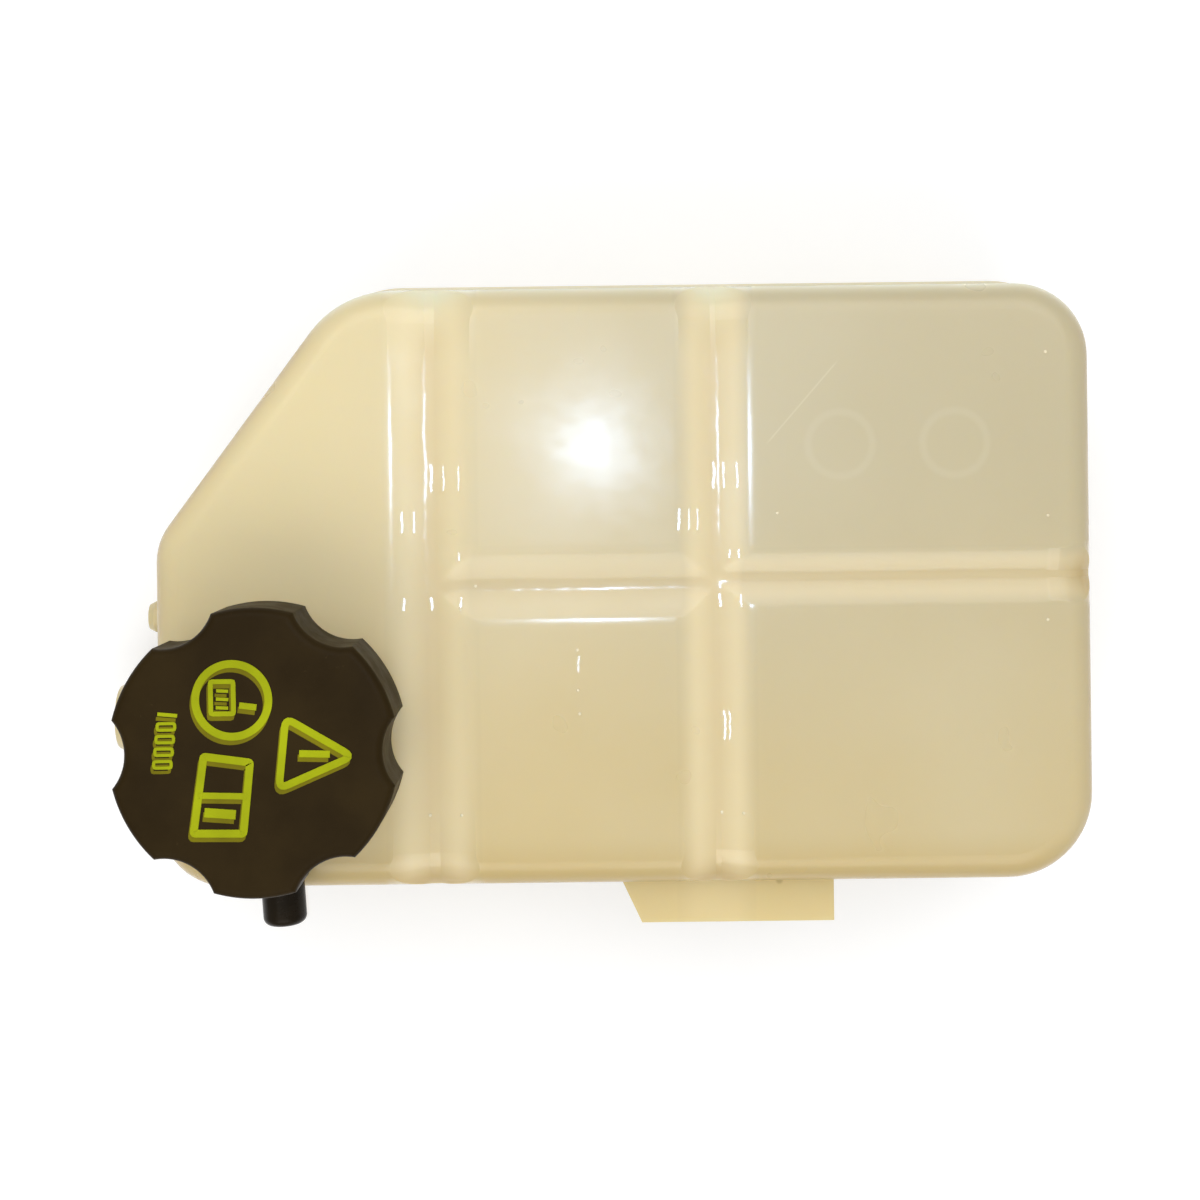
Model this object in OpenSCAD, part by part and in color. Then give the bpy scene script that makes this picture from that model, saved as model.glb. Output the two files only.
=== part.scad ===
// Coolant expansion tank with a screw cap.
// Two welded half shells carry the neck, hose spigots and bracket tongue.
// The cap holds a valve cartridge that hangs in the neck.
// The base rests on Z = 0, the cap faces +Z, the hose spigots face -X and the tongue faces -Y.

/* [Body] */
// Overall length along X
body_w = 270; // [262:1:282]
// Overall width along Y
body_d = 172; // [168:1:182]
// Overall height of the closed shells
body_h = 90; // [86:1:96]
// Height of the weld seam between the shells
seam_z = 46; // [44:1:50]
// Wall thickness of both shells
wall = 3; // [2.4:0.1:3.4]
// Radius of the long top edges
top_edge_r = 8; // [7.5:0.5:10]
// Radius of the long bottom edges
base_edge_r = 6; // [5:0.5:9]
// Size of the slanted corner, which takes three of these along X and four along Y
cut_unit = 18; // [17:1:19]
// Plan radius where the slanted corner meets the long side
cut_long_r = 30; // [26:2:34]
// Plan radius where the slanted corner meets the short side
cut_short_r = 18; // [18:3:24]
// Plan radius of the front left corner
front_left_r = 20; // [18:1:26]
// Plan radius of the front right corner
front_right_r = 25; // [20:1:30]
// Plan radius of the rear right corner
rear_right_r = 21; // [18:1:26]

/* [Weld flange] */
// How far the weld flange stands out of the walls
flange_out = 3.6; // [2.5:0.1:5]
// Thickness of the flange on each shell
flange_t = 2.4; // [2:0.1:3.5]

/* [Grooves] */
// Depth of the grooves that divide the top face
groove_depth = 2.8; // [2:0.1:3]
// Position of the left long groove along X
left_groove_x = -55; // [-57:0.5:-54]
// Width of the left long groove
left_groove_w = 23.6; // [20:0.2:24]
// Floor width of the left long groove
left_groove_floor = 3; // [2:0.2:5]
// Position of the right long groove along X
right_groove_x = 26.5; // [24:0.5:32]
// Width of the right long groove
right_groove_w = 20; // [16:0.5:22]
// Floor width of the right long groove
right_groove_floor = 1.6; // [1:0.2:4]
// Position of the middle cross groove along Y
mid_groove_y = 0.5; // [-3:0.5:1]
// Width of the middle cross groove
mid_groove_w = 20; // [16:0.5:22]
// Floor width of the middle cross groove
mid_groove_floor = 1.6; // [1:0.2:4]
// Position of the right cross groove along Y
side_groove_y = 2; // [1.5:0.5:5]
// Width of the right cross groove
side_groove_w = 15; // [12:0.5:17]
// Floor width of the right cross groove
side_groove_floor = 2; // [1:0.2:4]
// Radius over which the grooves run out at the rim
groove_end_r = 12; // [11:0.5:14]
// How far the run-out reaches past the wall
groove_end_out = 2; // [1.5:0.1:3]

/* [Baffles] */
// Thickness of the inner baffles
baffle_t = 2.4; // [2:0.1:3]
// Width of the flow windows at the floor
window_w = 40; // [32:1:44]
// Height of the flow windows above the floor
window_h = 20; // [16:1:22]
// Radius of the vent holes under the top face
vent_r = 5; // [4:0.5:6]
// Height of the vent hole centres below the top face
vent_drop = 14; // [13:0.5:18]

/* [Neck] */
// Distance of the neck axis from the left wall
neck_from_end = 35.4; // [34:0.1:37]
// Distance of the neck axis from the front wall
neck_from_front = 45.6; // [43:0.1:48]
// Outer radius of the neck without its thread
neck_r = 24; // [23.6:0.1:24.4]
// Bore radius of the neck
neck_bore_r = 20; // [19.8:0.1:20.4]
// Height of the neck above the top face
neck_h = 28; // [27:0.5:29]
// Height of the cone at the root of the neck
neck_root_h = 3; // [2:0.5:4]

/* [Bleed spigot] */
// Height of the bleed spigot axis above the top face
bleed_rise = 8; // [7.5:0.1:8.5]
// Outer radius of the bleed spigot
bleed_r = 4; // [3.5:0.1:4.2]
// Bore radius of the bleed spigot
bleed_bore_r = 2.2; // [1.5:0.1:2.6]
// Reach of the bleed spigot from the neck axis
bleed_reach = 50; // [48:0.5:51]
// Turn of the bleed spigot away from the front
bleed_angle = 3.5; // [0:0.5:8]
// Outer radius of the rubber blanking cap
blank_r = 6.1; // [5.6:0.1:6.4]
// Length of the rubber blanking cap
blank_len = 23; // [20:0.5:24]
// Thickness of the closed end of the blanking cap
blank_end_t = 2.8; // [2:0.1:4]
// Edge radius of the closed end of the blanking cap
blank_edge_r = 2.4; // [1.5:0.1:3]

/* [Hose spigots] */
// Position of the outlet spigot along Y
outlet_y = -45; // [-48:0.5:-42]
// Height of the outlet spigot axis
outlet_z = 20; // [18:0.5:23]
// Outer radius of the outlet spigot
outlet_r = 10; // [9:0.1:11]
// Bore radius of the outlet spigot
outlet_bore_r = 7.5; // [6:0.1:8]
// Length of the outlet spigot outside the wall
outlet_len = 26; // [22:0.5:30]
// Length of the bead land of the outlet spigot
outlet_land = 4; // [3:0.5:5]
// Position of the return nipple along Y
nipple_y = -12; // [-14:0.5:-8]
// Height of the return nipple axis
nipple_z = 30; // [26:0.5:34]
// Outer radius of the return nipple
nipple_r = 4; // [3.5:0.1:4.5]
// Bore radius of the return nipple
nipple_bore_r = 2.4; // [1.8:0.1:2.8]
// Length of the return nipple outside the wall
nipple_len = 14; // [12:0.5:18]
// Length of the bead land of the return nipple
nipple_land = 3; // [2:0.5:4]
// How far the beads stand out of the spigots
bead_out = 0.9; // [0.6:0.1:1.2]

/* [Tongue] */
// Left end of the bracket tongue along X
tongue_x = -2; // [-4:0.5:4]
// Length of the bracket tongue along X
tongue_w = 63; // [56:1:70]
// Reach of the bracket tongue from the wall
tongue_reach = 14; // [12:0.5:18]
// Drop of the tongue below the top face
tongue_drop = 16; // [14:0.5:18]
// Wall thickness of the tongue
tongue_wall = 2.4; // [2:0.1:3]
// Overall thickness of the tongue
tongue_t = 14; // [12:0.5:16]
// Width of the slanted end of the tongue
tongue_slant = 6.5; // [4:0.5:8]

/* [Cap] */
// Outer radius of the cap grip
cap_r = 38.8; // [38:0.1:40]
// Height of the top of the cap above the top face
cap_rise = 40; // [40:0.5:42]
// Height of the cap grip
cap_h = 24; // [23:0.5:24.5]
// Thickness of the top of the cap
cap_top_t = 2.6; // [2.2:0.1:3]
// Thickness of the skirt of the cap
cap_wall = 2.6; // [2:0.1:3]
// Radius of the upper edge of the cap
cap_edge_r = 2.2; // [1.5:0.1:2.5]
// Outer radius of the shallow dish in the top of the cap
dish_r = 31.6; // [28:0.2:31.8]
// Radius of the flat middle of the dish
dish_floor_r = 12; // [6:1:16]
// Depth of the dish
dish_depth = 0.8; // [0.4:0.1:1]
// Number of finger notches around the cap
notch_count = 6; // [6:1:6]
// Radius of each finger notch
notch_r = 14.2; // [12:0.1:15]
// Depth of each finger notch
notch_depth = 4.4; // [3:0.1:5]
// Outer radius of the threaded ring in the cap
ring_r = 29.2; // [28.6:0.1:29.6]
// Bore radius of the threaded ring, clear of the thread
ring_bore_r = 26; // [25.8:0.1:26.2]
// Length of the threaded ring
ring_len = 18; // [16:0.5:19]
// Number of the radial ribs between the ring and the skirt
cap_ribs = 12; // [6:6:12]
// Outer radius of the socket that holds the cartridge post
socket_r = 10.4; // [10:0.1:12]
// Bore radius of the socket that holds the cartridge post
socket_bore_r = 7.8; // [7.6:0.1:8]

/* [Cartridge] */
// Outer radius of the cartridge
cartridge_r = 19.4; // [19:0.1:19.5]
// Wall thickness of the cartridge
cartridge_wall = 2.2; // [1.8:0.1:2.6]
// Length of the cartridge below the neck rim
cartridge_len = 32; // [31:0.5:34]
// Radius of the flange that covers the neck rim
cartridge_flange_r = 23.4; // [22.5:0.1:23.8]
// Thickness of the cartridge flange
cartridge_flange_t = 2; // [1.6:0.1:2.2]
// Radius of the relief ports
port_r = 2.6; // [2:0.1:3]
// Number of relief ports
port_count = 4; // [3:1:6]
// Radius of the post that the clip holds
post_r = 4.6; // [4.2:0.1:4.8]
// Radius of the head of the post
post_head_r = 7; // [6.6:0.1:7.2]
// Thickness of the head of the post
post_head_t = 1.8; // [1.4:0.1:2]
// Thickness of the clip
clip_t = 1.4; // [1:0.1:1.6]
// Thickness of the base plug
plug_t = 3; // [2.6:0.1:3.4]
// Radius of the pressure valve opening
seat_bore_r = 8.6; // [8:0.1:9]
// Height of the raised valve seat
seat_h = 2.6; // [2:0.1:3]
// Width of the raised valve seat
seat_w = 1.2; // [0.8:0.1:1.6]
// Section diameter of the neck O-ring
o_ring_d = 2.8; // [2.4:0.1:3]
// Thickness of the flat gasket on the neck rim
gasket_t = 1.2; // [1:0.1:1.6]

/* [Valves] */
// Radius of the pressure valve plate
plate_r = 12.6; // [12:0.1:13]
// Thickness of the pressure valve plate
plate_t = 1.8; // [1.4:0.1:2.2]
// Thickness of the pressure valve seal
seal_t = 1.4; // [1:0.1:1.8]
// Inner radius of the pressure valve seal
seal_bore_r = 4.8; // [4.4:0.1:5]
// Mean radius of the pressure spring
spring_r = 10; // [9:0.1:10.6]
// Wire radius of the pressure spring
spring_wire_r = 0.8; // [0.6:0.05:0.9]
// Turns of the pressure spring
spring_turns = 6; // [5:0.5:7]
// Radius of the vacuum valve seal
vacuum_r = 6.8; // [6.4:0.1:7]
// Radius of the vacuum valve stem
stem_r = 1.5; // [1.2:0.1:1.7]
// Length of the vacuum valve stem above the pressure plate
stem_rise = 9; // [8:0.5:10]
// Mean radius of the vacuum spring
vacuum_spring_r = 3.1; // [2.9:0.1:3.3]
// Wire radius of the vacuum spring
vacuum_wire_r = 0.35; // [0.3:0.05:0.4]
// Turns of the vacuum spring
vacuum_turns = 6; // [5:0.5:7]

/* [Clearances] */
// Gap between pieces that move past one another
run_gap = 0.3; // [0.3:0.05:0.4]
// Gap between pieces that are pressed together
fit_gap = 0.05; // [0.02:0.01:0.1]

/* [Hidden] */
$fn = 96;

// Overlap of cutting tools past the faces that they cut
over = 1;
// Least plan radius that the swept rim leaves at a corner
rim_clear = 2;
// Gap between the closed end turns of a spring
coil_gap = 0.1;
// Steps in each turn of a spring, and sides of its wire
coil_steps = 20;
coil_sides = 6;

// Plan corners of the body, anticlockwise from the rear left, with a radius for each
corners = [
    [-body_w / 2 + 3 * cut_unit, body_d / 2],
    [-body_w / 2, body_d / 2 - 4 * cut_unit],
    [-body_w / 2, -body_d / 2],
    [body_w / 2, -body_d / 2],
    [body_w / 2, body_d / 2]
];
radii = [cut_long_r, cut_short_r, front_left_r, front_right_r, rear_right_r];
sides = len(corners);
// Depth of the rim that is swept around the plan, measured in from the wall
rim_d = min(radii) - rim_clear;

// Direction of the edge that leaves a corner, and its outward normal
function edge_angle(i) =
    let (a = corners[i % sides], b = corners[(i + 1) % sides]) atan2(b.y - a.y, b.x - a.x);
function normal(i) = [sin(edge_angle(i)), -cos(edge_angle(i))];
function centre(i) =
    let (n0 = normal(i + sides - 1), n1 = normal(i))
    corners[i] - radii[i] * (n0 + n1) / (1 + n0 * n1);
function edge_len(i) =
    (centre((i + 1) % sides) - centre(i)) * [cos(edge_angle(i)), sin(edge_angle(i))];

// Places that follow the body
neck_x = -body_w / 2 + neck_from_end;
neck_y = -body_d / 2 + neck_from_front;
tongue_z = body_h - tongue_drop;
neck_top = body_h + neck_h;
cap_top = body_h + cap_rise;
cap_low = cap_top - cap_h;
cap_ceiling = cap_top - cap_top_t;
flange_low = neck_top + gasket_t;
flange_high = flange_low + cartridge_flange_t;
cartridge_low = neck_top - cartridge_len;
plug_high = cartridge_low + plug_t;
seat_top = plug_high + seat_h;
plate_low = seat_top + seal_t;
plate_high = plate_low + plate_t;
bleed_z = body_h + bleed_rise;
dish_slope = (dish_r - dish_floor_r) / dish_depth;
post_top = cap_ceiling - run_gap;
clip_high = post_top - post_head_t - run_gap;
stem_top = plate_high + stem_rise;
cartridge_bore_r = cartridge_r - cartridge_wall;
o_ring_z = plug_high + o_ring_d;
o_ring_floor_r = neck_bore_r - run_gap - o_ring_d - fit_gap;
collar_bore_r = o_ring_floor_r - cartridge_wall;

// Half section of a block from a depth inside the wall out to the wall, with rounded edges
module block_section(reach, inset, low, high, low_r, high_r) {
    translate([-reach, low + low_r])
        square([reach - inset, high - low - low_r - high_r]);
    if (high_r > 0) {
        translate([-reach, high - high_r])
            square([reach - inset - high_r, high_r]);
        translate([-inset - high_r, high - high_r])
            intersection() {
                circle(high_r);
                square(high_r);
            }
    }
    if (low_r > 0) {
        translate([-reach, low])
            square([reach - inset - low_r, low_r]);
        translate([-inset - low_r, low + low_r])
            intersection() {
                circle(low_r);
                translate([0, -low_r])
                    square(low_r);
            }
    }
}

// The middle of the plan, inside the rim
module core_plan() {
    polygon([
        for (i = [0 : sides - 1])
            for (p = [
                centre(i) + (radii[i] - rim_d) * normal(i + sides - 1),
                centre(i),
                centre(i) + (radii[i] - rim_d) * normal(i)
            ])
                p
    ]);
}

// Sector of the plan between the two walls that meet at a corner, from the corner's centre
module corner_sector(i) {
    n0 = normal(i + sides - 1);
    n1 = normal(i);
    polygon([[0, 0], body_h * n0, body_h * (n0 + n1), body_h * n1]);
}

// A block in the shape of the plan, with its walls moved inwards by the inset
module block(inset, low, high, low_r, high_r) {
    for (i = [0 : sides - 1]) {
        start = centre(i) + radii[i] * normal(i);
        translate([start.x, start.y, 0])
            rotate([0, 0, edge_angle(i) - 90])
                translate([0, edge_len(i), 0])
                    rotate([90, 0, 0])
                        linear_extrude(edge_len(i))
                            block_section(rim_d, inset, low, high, low_r, high_r);
        translate([centre(i).x, centre(i).y, 0])
            intersection() {
                rotate_extrude()
                    translate([radii[i], 0])
                        block_section(radii[i], inset, low, high, low_r, high_r);
                translate([0, 0, low])
                    linear_extrude(high - low)
                        corner_sector(i);
            }
    }
    translate([0, 0, low])
        linear_extrude(high - low)
            core_plan();
}

// Trapezoid across a groove: x is the height over the face, y runs across the groove
// The skin moves the whole section inwards by that thickness
module groove_section(w, floor_w, skin) {
    slope = (w - floor_w) / 2 / groove_depth;
    shift = skin * sqrt(1 + slope * slope);
    low = -groove_depth - skin;
    polygon([
        [low, -(w / 2 + slope * low + shift)],
        [low, w / 2 + slope * low + shift],
        [over, w / 2 + slope * over + shift],
        [over, -(w / 2 + slope * over + shift)]
    ]);
}

// A groove along +X in the top face, which can bend down and run out over the rim at its end
module groove(from, to, w, floor_w, skin, over_rim) {
    bend_x = over_rim ? to + groove_end_out - groove_end_r : to;
    translate([from, 0, body_h])
        rotate([0, 90, 0])
            linear_extrude(bend_x - from)
                mirror([1, 0])
                    groove_section(w, floor_w, skin);
    if (over_rim)
        translate([bend_x, 0, body_h - groove_depth - groove_end_r])
            rotate([90, 0, 0])
                rotate_extrude(angle = 90)
                    translate([groove_end_r + groove_depth, 0])
                        groove_section(w, floor_w, skin);
}

// A groove across the whole width of the body, over both rims
module long_groove(x, w, floor_w, skin) {
    for (side = [90, -90])
        translate([x, 0, 0])
            rotate([0, 0, side])
                groove(0, body_d / 2, w, floor_w, skin, true);
}

module grooves(skin) {
    long_groove(left_groove_x, left_groove_w, left_groove_floor, skin);
    long_groove(right_groove_x, right_groove_w, right_groove_floor, skin);
    translate([0, mid_groove_y, 0])
        groove(left_groove_x, right_groove_x, mid_groove_w, mid_groove_floor, skin, false);
    translate([0, side_groove_y, 0])
        groove(right_groove_x, body_w / 2, side_groove_w, side_groove_floor, skin, true);
}

// The baffle walls under the grooves
module baffles(low, high) {
    for (x = [left_groove_x, right_groove_x])
        translate([x - baffle_t / 2, -body_d / 2 + wall / 2, low])
            cube([baffle_t, body_d - wall, high - low]);
    translate([left_groove_x, mid_groove_y - baffle_t / 2, low])
        cube([right_groove_x - left_groove_x, baffle_t, high - low]);
    translate([right_groove_x, side_groove_y - baffle_t / 2, low])
        cube([body_w / 2 - wall / 2 - right_groove_x, baffle_t, high - low]);
}

// The middle of each stretch of baffle, with the direction that faces through it
function openings() = [
    [left_groove_x, (body_d / 2 + mid_groove_y) / 2, 0],
    [left_groove_x, (-body_d / 2 + mid_groove_y) / 2, 0],
    [right_groove_x, (body_d / 2 + mid_groove_y) / 2, 0],
    [right_groove_x, (-body_d / 2 + mid_groove_y) / 2, 0],
    [(left_groove_x + right_groove_x) / 2, mid_groove_y, 90],
    [(right_groove_x + body_w / 2) / 2, side_groove_y, 90]
];

// Round vent holes through the baffles, close under the top face
module vent_holes() {
    for (p = openings())
        translate([p.x, p.y, body_h - vent_drop])
            rotate([0, 0, p.z])
                rotate([0, 90, 0])
                    cylinder(r = vent_r, h = 2 * baffle_t, center = true);
}

// Flow windows through the baffles at the floor
module flow_windows() {
    for (p = openings())
        translate([p.x, p.y, wall + window_h / 2])
            rotate([0, 0, p.z])
                cube([2 * baffle_t, window_w, window_h], center = true);
}

// Two of the four walls of the bracket tongue are its ends, and the left one is slanted
module tongue_plan(inset) {
    low = -body_d / 2 - tongue_reach + inset;
    polygon([
        [tongue_x + inset, -body_d / 2 + wall / 2],
        [tongue_x + inset, -body_d / 2 - inset],
        [tongue_x + tongue_slant + inset, low],
        [tongue_x + tongue_w - inset, low],
        [tongue_x + tongue_w - inset, -body_d / 2 + wall / 2]
    ]);
}

// Bracket tongue: a plate with a lip and ribs, open underneath
module tongue() {
    low = tongue_z - tongue_t;
    translate([0, 0, low])
        difference() {
            linear_extrude(tongue_t)
                tongue_plan(0);
            translate([0, 0, -over])
                linear_extrude(tongue_t - tongue_wall + over)
                    tongue_plan(tongue_wall);
        }
    translate([
        tongue_x + tongue_w / 2 - tongue_wall / 2,
        -body_d / 2 - tongue_reach + tongue_wall / 2,
        low
    ])
        cube([tongue_wall, tongue_reach, tongue_t - tongue_wall / 2]);
}

// Round profile of the neck and the spigots, turned about +Z, with a bead at the far end
module spigot(r, length, bead_r, land) {
    cylinder(r = r, h = length);
    if (bead_r > r) {
        ramp = 2 * (bead_r - r);
        translate([0, 0, length - 2 * ramp - land])
            cylinder(r1 = r, r2 = bead_r, h = ramp);
        translate([0, 0, length - ramp - land])
            cylinder(r = bead_r, h = land);
        translate([0, 0, length - ramp])
            cylinder(r1 = bead_r, r2 = r, h = ramp);
    }
}

// Places its children on the bleed spigot axis, with +Z pointing away from the neck
module at_bleed() {
    translate([neck_x, neck_y, bleed_z])
        rotate([90, 0, bleed_angle])
            children();
}

module upper_shell() {
    color([0.88, 0.82, 0.68])
        difference() {
            union() {
                difference() {
                    union() {
                        block(0, seam_z, body_h, 0, top_edge_r);
                        block(-flange_out, seam_z, seam_z + flange_t, 0, 0);
                    }
                    grooves(0);
                    difference() {
                        block(wall, seam_z - over, body_h - wall, 0, top_edge_r - wall);
                        grooves(wall);
                        difference() {
                            baffles(seam_z, body_h - wall / 2);
                            vent_holes();
                        }
                    }
                }
                tongue();
                translate([neck_x, neck_y, body_h - wall / 2])
                    cylinder(r = neck_r, h = neck_h + wall / 2);
                translate([neck_x, neck_y, body_h])
                    cylinder(r1 = neck_r + neck_root_h, r2 = neck_r, h = neck_root_h);
                at_bleed()
                    cylinder(r = bleed_r, h = bleed_reach);
            }
            translate([neck_x, neck_y, body_h - wall - over])
                cylinder(r = neck_bore_r, h = neck_h + wall + 2 * over);
            at_bleed()
                translate([0, 0, neck_bore_r - over])
                    cylinder(r = bleed_bore_r, h = bleed_reach);
        }
}

module lower_shell() {
    color([0.86, 0.79, 0.64])
        difference() {
            union() {
                difference() {
                    union() {
                        block(0, 0, seam_z, base_edge_r, 0);
                        block(-flange_out, seam_z - flange_t, seam_z, 0, 0);
                    }
                    difference() {
                        block(wall, wall, seam_z + over, base_edge_r - wall, 0);
                        difference() {
                            baffles(wall / 2, seam_z);
                            flow_windows();
                        }
                    }
                }
                translate([-body_w / 2 + wall / 2, outlet_y, outlet_z])
                    rotate([0, -90, 0])
                        spigot(outlet_r, outlet_len + wall / 2, outlet_r + bead_out, outlet_land);
                translate([-body_w / 2 + wall / 2, nipple_y, nipple_z])
                    rotate([0, -90, 0])
                        spigot(nipple_r, nipple_len + wall / 2, nipple_r + bead_out, nipple_land);
            }
            translate([-body_w / 2 - outlet_len - over, outlet_y, outlet_z])
                rotate([0, 90, 0])
                    cylinder(r = outlet_bore_r, h = outlet_len + wall + 2 * over);
            translate([-body_w / 2 - nipple_len - over, nipple_y, nipple_z])
                rotate([0, 90, 0])
                    cylinder(r = nipple_bore_r, h = nipple_len + wall + 2 * over);
        }
}

module bleed_spigot_cap() {
    start = bleed_reach + fit_gap + blank_end_t - blank_len;
    end = start + blank_len;
    color([0.07, 0.06, 0.05])
        at_bleed()
            rotate_extrude()
                difference() {
                    union() {
                        translate([0, start])
                            square([blank_r, blank_len - blank_edge_r]);
                        translate([0, start])
                            square([blank_r - blank_edge_r, blank_len]);
                        translate([blank_r - blank_edge_r, end - blank_edge_r])
                            intersection() {
                                circle(blank_edge_r);
                                square(blank_edge_r);
                            }
                    }
                    translate([0, start - over])
                        square([bleed_r + fit_gap, blank_len - blank_end_t + over]);
                }
}

// Plan of the cap grip, moved inwards by the inset
module grip_plan(inset) {
    difference() {
        circle(cap_r - inset);
        for (i = [0 : notch_count - 1])
            rotate(360 / notch_count * i)
                translate([cap_r + notch_r - notch_depth, 0])
                    circle(notch_r + inset);
    }
}

// Cuts the upper edge of a notch back to a round
module notch_edge_round() {
    rotate_extrude()
        difference() {
            translate([0, cap_top - cap_edge_r])
                square([notch_r + cap_edge_r, cap_edge_r + over]);
            translate([notch_r + cap_edge_r, cap_top - cap_edge_r])
                circle(cap_edge_r);
        }
}

module cap_grip() {
    color([0.21, 0.17, 0.11])
        translate([neck_x, neck_y, 0]) {
            difference() {
                rotate_extrude() {
                    translate([0, cap_low])
                        square([cap_r, cap_h - cap_edge_r]);
                    translate([0, cap_low])
                        square([cap_r - cap_edge_r, cap_h]);
                    translate([cap_r - cap_edge_r, cap_top - cap_edge_r])
                        intersection() {
                            circle(cap_edge_r);
                            square(cap_edge_r);
                        }
                }
                for (i = [0 : notch_count - 1])
                    rotate([0, 0, 360 / notch_count * i])
                        translate([cap_r + notch_r - notch_depth, 0, 0]) {
                            translate([0, 0, cap_low - over])
                                cylinder(r = notch_r, h = cap_h + 2 * over);
                            notch_edge_round();
                        }
                translate([0, 0, cap_low - over])
                    linear_extrude(cap_h - cap_top_t + over)
                        grip_plan(cap_wall);
                translate([0, 0, cap_top - dish_depth])
                    cylinder(r1 = dish_floor_r, r2 = dish_r + dish_slope * over, h = dish_depth + over);
            }
            // Socket for the cartridge post
            translate([0, 0, flange_high + run_gap])
                difference() {
                    cylinder(r = socket_r, h = cap_ceiling - flange_high - run_gap + cap_top_t / 2);
                    translate([0, 0, -over])
                        cylinder(r = socket_bore_r, h = cap_ceiling - flange_high - run_gap + over);
                }
            // Ribs between the threaded ring and the skirt
            intersection() {
                for (i = [0 : cap_ribs - 1])
                    rotate([0, 0, 360 / cap_ribs * (i + 0.5)])
                        translate([ring_r + fit_gap, -cap_wall / 4, cap_low + cap_wall])
                            cube([cap_r, cap_wall / 2, cap_h - cap_top_t / 2 - cap_wall]);
                translate([0, 0, cap_low])
                    linear_extrude(cap_h)
                        grip_plan(cap_wall / 2);
            }
        }
}

module cap_thread_ring() {
    color([0.16, 0.13, 0.09])
        translate([neck_x, neck_y, cap_ceiling - ring_len])
            difference() {
                cylinder(r = ring_r, h = ring_len);
                translate([0, 0, -over])
                    cylinder(r = ring_bore_r, h = ring_len + 2 * over);
            }
}

module cap_clip() {
    color([0.55, 0.55, 0.52])
        translate([neck_x, neck_y, clip_high - clip_t])
            difference() {
                cylinder(r = socket_bore_r - fit_gap, h = clip_t);
                translate([0, 0, -over])
                    cylinder(r = post_r + run_gap, h = clip_t + 2 * over);
            }
}

module cartridge_body() {
    color([0.13, 0.12, 0.11])
        translate([neck_x, neck_y, 0])
            difference() {
                union() {
                    translate([0, 0, cartridge_low])
                        cylinder(r = cartridge_r, h = flange_high - cartridge_low);
                    translate([0, 0, flange_low])
                        cylinder(r = cartridge_flange_r, h = cartridge_flange_t);
                    translate([0, 0, flange_high])
                        cylinder(r = post_r, h = post_top - flange_high);
                    translate([0, 0, post_top - post_head_t])
                        cylinder(r = post_head_r, h = post_head_t);
                }
                translate([0, 0, cartridge_low - over])
                    cylinder(r = cartridge_bore_r, h = plug_t + over);
                translate([0, 0, cartridge_low])
                    cylinder(r = collar_bore_r, h = flange_low - cartridge_low);
                translate([0, 0, o_ring_z + o_ring_d])
                    cylinder(r = cartridge_bore_r, h = flange_low - o_ring_z - o_ring_d);
                // Groove for the O-ring
                translate([0, 0, o_ring_z - o_ring_d / 2 - fit_gap])
                    difference() {
                        cylinder(r = neck_bore_r, h = o_ring_d + 2 * fit_gap);
                        translate([0, 0, -over])
                            cylinder(r = o_ring_floor_r, h = o_ring_d + 2 * over);
                    }
                // Relief ports at the height of the bleed spigot
                for (i = [0 : port_count - 1])
                    rotate([0, 0, 360 / port_count * (i + 0.5)])
                        translate([0, 0, bleed_z])
                            rotate([0, 90, 0])
                                cylinder(r = port_r, h = 2 * cartridge_r);
            }
}

module cartridge_base() {
    color([0.17, 0.16, 0.15])
        translate([neck_x, neck_y, cartridge_low])
            difference() {
                union() {
                    cylinder(r = cartridge_bore_r - fit_gap, h = plug_t);
                    cylinder(r = seat_bore_r + seat_w, h = plug_t + seat_h);
                }
                translate([0, 0, -over])
                    cylinder(r = seat_bore_r, h = plug_t + seat_h + 2 * over);
            }
}

module neck_o_ring() {
    color([0.08, 0.08, 0.08])
        translate([neck_x, neck_y, o_ring_z])
            rotate_extrude()
                translate([neck_bore_r - run_gap - o_ring_d / 2, 0])
                    circle(d = o_ring_d);
}

module cap_gasket() {
    color([0.09, 0.09, 0.09])
        translate([neck_x, neck_y, neck_top])
            difference() {
                cylinder(r = cartridge_flange_r, h = gasket_t);
                translate([0, 0, -over])
                    cylinder(r = cartridge_r + fit_gap, h = gasket_t + 2 * over);
            }
}

module pressure_valve_plate() {
    color([0.62, 0.62, 0.6])
        translate([neck_x, neck_y, plate_low])
            difference() {
                cylinder(r = plate_r, h = plate_t);
                translate([0, 0, -over])
                    cylinder(r = stem_r + run_gap, h = plate_t + 2 * over);
                for (i = [0 : 3])
                    rotate([0, 0, 90 * i])
                        translate([(stem_r + seal_bore_r) / 2, 0, -over])
                            cylinder(r = stem_r / 2, h = plate_t + 2 * over);
            }
}

module pressure_valve_seal() {
    color([0.1, 0.1, 0.1])
        translate([neck_x, neck_y, seat_top])
            difference() {
                cylinder(r = (plate_r + seat_bore_r + seat_w) / 2, h = seal_t);
                translate([0, 0, -over])
                    cylinder(r = seal_bore_r, h = seal_t + 2 * over);
            }
}

// Height of a coil's wire centre at a turn, with closed end turns
function coil_z(t, turns, wire, length) =
    let (
        closed = 2 * wire + coil_gap,
        free = (length - 2 * wire - 2 * closed) / (turns - 2)
    )
    t < 1 ? wire + closed * t :
    t > turns - 1 ? length - wire - closed * (turns - t) :
    wire + closed + free * (t - 1);

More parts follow.
